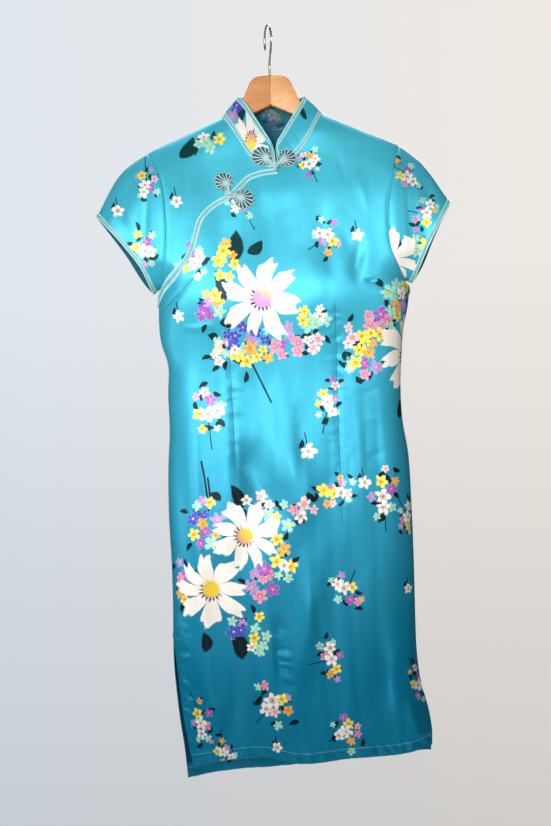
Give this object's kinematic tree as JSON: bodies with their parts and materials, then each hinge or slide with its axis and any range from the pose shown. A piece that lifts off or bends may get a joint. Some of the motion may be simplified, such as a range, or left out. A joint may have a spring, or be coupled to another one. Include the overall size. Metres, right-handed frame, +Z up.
{
  "type": "cheongsam on a wooden hanger",
  "caption": "Short-sleeved cheongsam of printed satin with a standing collar, an S-shaped opening closed by frogs and side slits, hung from a wooden hanger's wire hook.",
  "frame": {"origin": "the inside of the hook's crown, at its top, where the hook sits on a rail", "axes": "+X to the right of a viewer who faces the front, +Y from the front to the back, +Z up"},
  "size_m": [0.5281, 0.0907, 1.1236],
  "materials": {
    "printed_satin": "satin",
    "aqua_piping": "satin",
    "frog_cord": "satin",
    "light_beech": "varnished",
    "dark_beech": "varnished",
    "hook_steel": "polished wire"
  },
  "bodies": {
    "root": {"back": "printed_satin", "front": "printed_satin", "under_front": "printed_satin", "sleeve_left": "printed_satin", "sleeve_right": "printed_satin", "collar": "printed_satin", "opening_trim": "aqua_piping", "collar_edge_trim": "aqua_piping", "collar_base_trim": "aqua_piping", "cuff_trim_left": "aqua_piping", "cuff_trim_right": "aqua_piping", "neck_frog_flower_left": "frog_cord", "neck_frog_flower_right": "frog_cord", "neck_frog_knot": "frog_cord", "neck_frog_loop": "frog_cord", "chest_frog_flower_left": "frog_cord", "chest_frog_flower_right": "frog_cord", "chest_frog_knot": "frog_cord", "chest_frog_loop": "frog_cord", "hanger_arm_left": "dark_beech", "hanger_arm_right": "light_beech", "hanger_hook": "hook_steel"}
  },
  "joints": []
}
